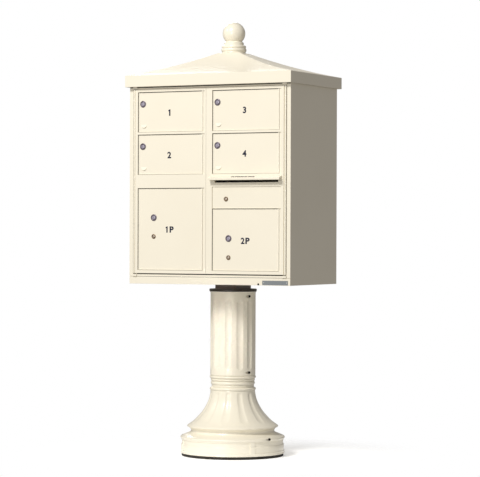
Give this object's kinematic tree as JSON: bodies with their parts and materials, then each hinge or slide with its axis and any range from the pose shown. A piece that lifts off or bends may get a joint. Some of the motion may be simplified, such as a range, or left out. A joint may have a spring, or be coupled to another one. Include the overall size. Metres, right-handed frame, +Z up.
{
  "type": "cluster mailbox unit",
  "caption": "Pedestal-mounted cluster mailbox with keyed compartment doors, parcel lockers, mail slot, hipped hood and fluted column base.",
  "frame": {"origin": "centre of the underside of the round base pad, on the ground", "axes": "+Z up, front of the cabinet faces -Y, +X to the right seen from the front"},
  "size_m": [0.798, 0.513, 1.8785],
  "materials": {
    "cream_coat": "smooth cream powder coat, semi-gloss",
    "bronze_paint": "dark bronze powder coat, satin",
    "rubber_pad": "matt black",
    "zinc_steel": "zinc plated",
    "aluminium": "mill finish",
    "chrome_lock": "polished nickel-chrome",
    "brass_lock": "aged brass",
    "plate_grey": "satin anodised, blank"
  },
  "bodies": {
    "cabinet": {"back_panel": "cream_coat", "base_band": "cream_coat", "base_pad": "rubber_pad", "cover_screw_lower_left": "zinc_steel", "cover_screw_lower_right": "zinc_steel", "cover_screw_middle_left": "zinc_steel", "cover_screw_middle_right": "zinc_steel", "cover_screw_upper_left": "zinc_steel", "cover_screw_upper_right": "zinc_steel", "data_plate": "plate_grey", "finial": "cream_coat", "floor_panel": "cream_coat", "hood": "cream_coat", "master_pin_left": "zinc_steel", "master_pin_right": "zinc_steel", "pedestal_base_plate": "bronze_paint", "pedestal_cover_front": "cream_coat", "pedestal_cover_rear": "cream_coat", "pedestal_top_plate": "bronze_paint", "pedestal_tube": "bronze_paint", "rack_divider": "aluminium", "shelf_left_lower": "aluminium", "shelf_left_upper": "aluminium", "shelf_right_lower": "aluminium", "shelf_right_middle": "aluminium", "shelf_right_upper": "aluminium", "side_panel_left": "cream_coat", "side_panel_right": "cream_coat", "top_panel": "cream_coat"},
    "left_master_door": {"master_frame_left": "cream_coat", "door_pin_1": "zinc_steel", "door_pin_2": "zinc_steel", "door_pin_1P": "zinc_steel"},
    "right_master_door": {"master_frame_right": "cream_coat", "slot_canopy": "cream_coat", "arrow_lock_case": "zinc_steel", "door_pin_3": "zinc_steel", "door_pin_4": "zinc_steel", "door_pin_2P": "zinc_steel"},
    "arrow_lock": {"arrow_lock_plug": "brass_lock"},
    "compartment_door_1": {"door_1": "cream_coat", "lock_barrel_1": "chrome_lock"},
    "key_lock_1": {"lock_plug_1": "chrome_lock"},
    "compartment_door_2": {"door_2": "cream_coat", "lock_barrel_2": "chrome_lock"},
    "key_lock_2": {"lock_plug_2": "chrome_lock"},
    "compartment_door_1P": {"door_1P": "cream_coat", "lock_barrel_1P": "chrome_lock"},
    "key_lock_1P": {"lock_plug_1P": "chrome_lock"},
    "compartment_door_3": {"door_3": "cream_coat", "lock_barrel_3": "chrome_lock"},
    "key_lock_3": {"lock_plug_3": "chrome_lock"},
    "compartment_door_4": {"door_4": "cream_coat", "lock_barrel_4": "chrome_lock"},
    "key_lock_4": {"lock_plug_4": "chrome_lock"},
    "compartment_door_2P": {"door_2P": "cream_coat", "lock_barrel_2P": "chrome_lock"},
    "key_lock_2P": {"lock_plug_2P": "chrome_lock"},
    "service_lock_1P": {"control_lock_1P": "brass_lock"},
    "service_lock_2P": {"control_lock_2P": "brass_lock"}
  },
  "joints": [
    {"name": "left_master_hinge", "type": "hinge", "parent": "cabinet", "child": "left_master_door", "pos_m": [-0.364, -0.229, 1.1865], "axis": [0, 0, -1], "range_deg": [0, 110]},
    {"name": "right_master_hinge", "type": "hinge", "parent": "cabinet", "child": "right_master_door", "pos_m": [0.364, -0.229, 1.1865], "axis": [0, 0, 1], "range_deg": [0, 110]},
    {"name": "arrow_lock_turn", "type": "hinge", "parent": "right_master_door", "child": "arrow_lock", "pos_m": [0.085, -0.2285, 1.1075], "axis": [0, -1, 0], "range_deg": [0, 90]},
    {"name": "door_1_hinge", "type": "hinge", "parent": "left_master_door", "child": "compartment_door_1", "pos_m": [-0.031, -0.229, 1.4835], "axis": [0, 0, 1], "range_deg": [0, 110]},
    {"name": "lock_1_turn", "type": "hinge", "parent": "compartment_door_1", "child": "key_lock_1", "pos_m": [-0.322, -0.2285, 1.5185], "axis": [0, -1, 0], "range_deg": [0, 90]},
    {"name": "door_2_hinge", "type": "hinge", "parent": "left_master_door", "child": "compartment_door_2", "pos_m": [-0.031, -0.229, 1.3005], "axis": [0, 0, 1], "range_deg": [0, 110]},
    {"name": "lock_2_turn", "type": "hinge", "parent": "compartment_door_2", "child": "key_lock_2", "pos_m": [-0.322, -0.2285, 1.3355], "axis": [0, -1, 0], "range_deg": [0, 90]},
    {"name": "door_1P_hinge", "type": "hinge", "parent": "left_master_door", "child": "compartment_door_1P", "pos_m": [-0.031, -0.229, 0.9795], "axis": [0, 0, 1], "range_deg": [0, 110]},
    {"name": "lock_1P_turn", "type": "hinge", "parent": "compartment_door_1P", "child": "key_lock_1P", "pos_m": [-0.2675, -0.2285, 1.029], "axis": [0, -1, 0], "range_deg": [0, 90]},
    {"name": "service_lock_1P_turn", "type": "hinge", "parent": "compartment_door_1P", "child": "service_lock_1P", "pos_m": [-0.2675, -0.2285, 0.948], "axis": [0, 1, 0], "range_deg": [0, 35]},
    {"name": "door_3_hinge", "type": "hinge", "parent": "right_master_door", "child": "compartment_door_3", "pos_m": [0.3325, -0.229, 1.4835], "axis": [0, 0, 1], "range_deg": [0, 110]},
    {"name": "lock_3_turn", "type": "hinge", "parent": "compartment_door_3", "child": "key_lock_3", "pos_m": [0.0415, -0.2285, 1.5185], "axis": [0, -1, 0], "range_deg": [0, 90]},
    {"name": "door_4_hinge", "type": "hinge", "parent": "right_master_door", "child": "compartment_door_4", "pos_m": [0.3325, -0.229, 1.3005], "axis": [0, 0, 1], "range_deg": [0, 110]},
    {"name": "lock_4_turn", "type": "hinge", "parent": "compartment_door_4", "child": "key_lock_4", "pos_m": [0.0415, -0.2285, 1.3355], "axis": [0, -1, 0], "range_deg": [0, 90]},
    {"name": "door_2P_hinge", "type": "hinge", "parent": "right_master_door", "child": "compartment_door_2P", "pos_m": [0.3325, -0.229, 0.93525], "axis": [0, 0, 1], "range_deg": [0, 110]},
    {"name": "lock_2P_turn", "type": "hinge", "parent": "compartment_door_2P", "child": "key_lock_2P", "pos_m": [0.096, -0.2285, 0.9405], "axis": [0, -1, 0], "range_deg": [0, 90]},
    {"name": "service_lock_2P_turn", "type": "hinge", "parent": "compartment_door_2P", "child": "service_lock_2P", "pos_m": [0.096, -0.2285, 0.8595], "axis": [0, 1, 0], "range_deg": [0, 35]}
  ]
}
